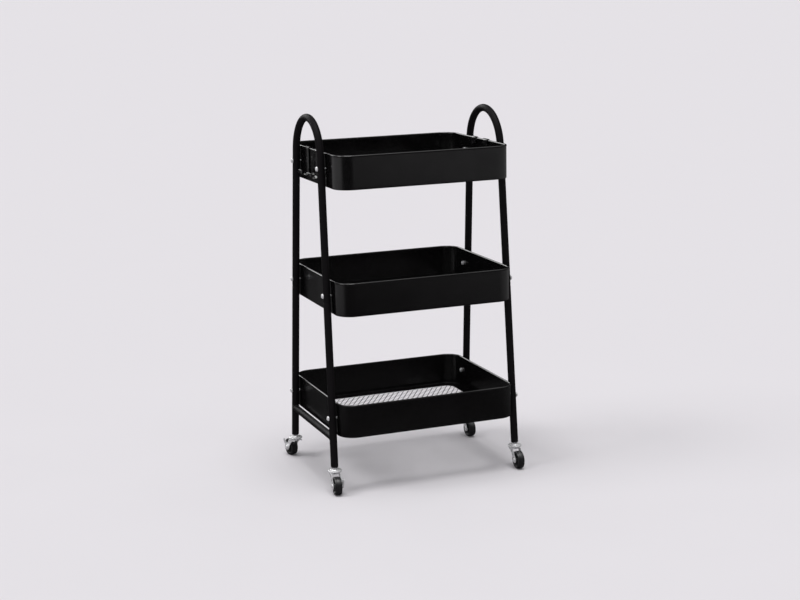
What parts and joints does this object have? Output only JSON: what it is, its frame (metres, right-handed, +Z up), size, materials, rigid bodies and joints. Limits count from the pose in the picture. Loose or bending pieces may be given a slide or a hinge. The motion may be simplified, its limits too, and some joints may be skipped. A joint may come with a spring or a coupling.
{
  "type": "utility cart",
  "caption": "Tall black rolling utility cart: rounded sheet-metal trays with expanded-mesh floors between two A-shaped tube hoops, on small swivel casters with side brakes.",
  "frame": {"origin": "on the floor, midway between the four legs; the bounding box's centre is 4 mm from it because a brake lever sticks out on the left", "axes": "+X runs along the trays towards the right end frame, +Y across the trays towards the back, +Z up"},
  "size_m": [0.4629, 0.3503, 0.7928],
  "materials": {
    "powder_coat": "satin black powder coat",
    "hook_coat": "gloss black powder coat",
    "zinc": "bright zinc plate",
    "wheel_plastic": "matte black",
    "plug_plastic": "matte black"
  },
  "bodies": {
    "cart": {"left_hoop": "powder_coat", "left_lower_frame": "powder_coat", "right_hoop": "powder_coat", "right_lower_frame": "powder_coat", "front_left_leg_plug": "plug_plastic", "front_right_leg_plug": "plug_plastic", "back_left_leg_plug": "plug_plastic", "back_right_leg_plug": "plug_plastic", "bottom_tray": "powder_coat", "bottom_mesh_floor": "powder_coat", "middle_tray": "powder_coat", "middle_mesh_floor": "powder_coat", "top_tray": "powder_coat", "top_mesh_floor": "powder_coat", "bottom_front_left_screw": "zinc", "bottom_front_left_nut": "zinc", "bottom_front_right_screw": "zinc", "bottom_front_right_nut": "zinc", "bottom_back_left_screw": "zinc", "bottom_back_left_nut": "zinc", "bottom_back_right_screw": "zinc", "bottom_back_right_nut": "zinc", "middle_front_left_screw": "zinc", "middle_front_left_nut": "zinc", "middle_front_right_screw": "zinc", "middle_front_right_nut": "zinc", "middle_back_left_screw": "zinc", "middle_back_left_nut": "zinc", "middle_back_right_screw": "zinc", "middle_back_right_nut": "zinc", "top_front_left_screw": "zinc", "top_front_left_nut": "zinc", "top_front_right_screw": "zinc", "top_front_right_nut": "zinc", "top_back_left_screw": "zinc", "top_back_left_nut": "zinc", "top_back_right_screw": "zinc", "top_back_right_nut": "zinc", "front_left_caster_stem": "zinc", "back_left_caster_stem": "zinc", "front_right_caster_stem": "zinc", "back_right_caster_stem": "zinc"},
    "left_front_hook_body": {"left_front_hook": "hook_coat"},
    "left_back_hook_body": {"left_back_hook": "hook_coat"},
    "right_front_hook_body": {"right_front_hook": "hook_coat"},
    "right_back_hook_body": {"right_back_hook": "hook_coat"},
    "front_left_swivel_body": {"front_left_caster_fork": "zinc", "front_left_caster_axle": "zinc"},
    "front_left_wheel_body": {"front_left_caster_wheel": "wheel_plastic"},
    "front_left_brake_body": {"front_left_brake_lever": "zinc"},
    "back_left_swivel_body": {"back_left_caster_fork": "zinc", "back_left_caster_axle": "zinc"},
    "back_left_wheel_body": {"back_left_caster_wheel": "wheel_plastic"},
    "back_left_brake_body": {"back_left_brake_lever": "zinc"},
    "front_right_swivel_body": {"front_right_caster_fork": "zinc", "front_right_caster_axle": "zinc"},
    "front_right_wheel_body": {"front_right_caster_wheel": "wheel_plastic"},
    "back_right_swivel_body": {"back_right_caster_fork": "zinc", "back_right_caster_axle": "zinc"},
    "back_right_wheel_body": {"back_right_caster_wheel": "wheel_plastic"}
  },
  "joints": [
    {"name": "left_front_hook_slide", "type": "slide", "parent": "cart", "child": "left_front_hook_body", "axis": [0, 1, 0], "range_m": [-0.026, 0.017]},
    {"name": "left_back_hook_slide", "type": "slide", "parent": "cart", "child": "left_back_hook_body", "axis": [0, 1, 0], "range_m": [-0.017, 0.026]},
    {"name": "right_front_hook_slide", "type": "slide", "parent": "cart", "child": "right_front_hook_body", "axis": [0, 1, 0], "range_m": [-0.026, 0.017]},
    {"name": "right_back_hook_slide", "type": "slide", "parent": "cart", "child": "right_back_hook_body", "axis": [0, 1, 0], "range_m": [-0.017, 0.026]},
    {"name": "front_left_swivel", "type": "hinge", "parent": "cart", "child": "front_left_swivel_body", "pos_m": [-0.21217, -0.13338, 0.047], "axis": [0, 0, 1], "continuous": true},
    {"name": "front_left_wheel_spin", "type": "hinge", "parent": "front_left_swivel_body", "child": "front_left_wheel_body", "pos_m": [-0.21485, -0.15521, 0.0195], "axis": [0.9925, -0.1219, 0], "continuous": true},
    {"name": "front_left_brake", "type": "hinge", "parent": "front_left_swivel_body", "child": "front_left_brake_body", "pos_m": [-0.21485, -0.15521, 0.0195], "axis": [0.9925, -0.1219, 0], "range_deg": [0, 35]},
    {"name": "back_left_swivel", "type": "hinge", "parent": "cart", "child": "back_left_swivel_body", "pos_m": [-0.21217, 0.13338, 0.047], "axis": [0, 0, 1], "continuous": true},
    {"name": "back_left_wheel_spin", "type": "hinge", "parent": "back_left_swivel_body", "child": "back_left_wheel_body", "pos_m": [-0.21599, 0.15504, 0.0195], "axis": [-0.9848, -0.1736, 0], "continuous": true},
    {"name": "back_left_brake", "type": "hinge", "parent": "back_left_swivel_body", "child": "back_left_brake_body", "pos_m": [-0.21599, 0.15504, 0.0195], "axis": [-0.9848, -0.1736, 0], "range_deg": [0, 35]},
    {"name": "front_right_swivel", "type": "hinge", "parent": "cart", "child": "front_right_swivel_body", "pos_m": [0.21217, -0.13338, 0.047], "axis": [0, 0, 1], "continuous": true},
    {"name": "front_right_wheel_spin", "type": "hinge", "parent": "front_right_swivel_body", "child": "front_right_wheel_body", "pos_m": [0.21102, -0.15535, 0.0195], "axis": [0.9986, -0.0523, 0], "continuous": true},
    {"name": "back_right_swivel", "type": "hinge", "parent": "cart", "child": "back_right_swivel_body", "pos_m": [0.21217, 0.13338, 0.047], "axis": [0, 0, 1], "continuous": true},
    {"name": "back_right_wheel_spin", "type": "hinge", "parent": "back_right_swivel_body", "child": "back_right_wheel_body", "pos_m": [0.21294, 0.11139, 0.0195], "axis": [0.9994, 0.0349, 0], "continuous": true}
  ]
}
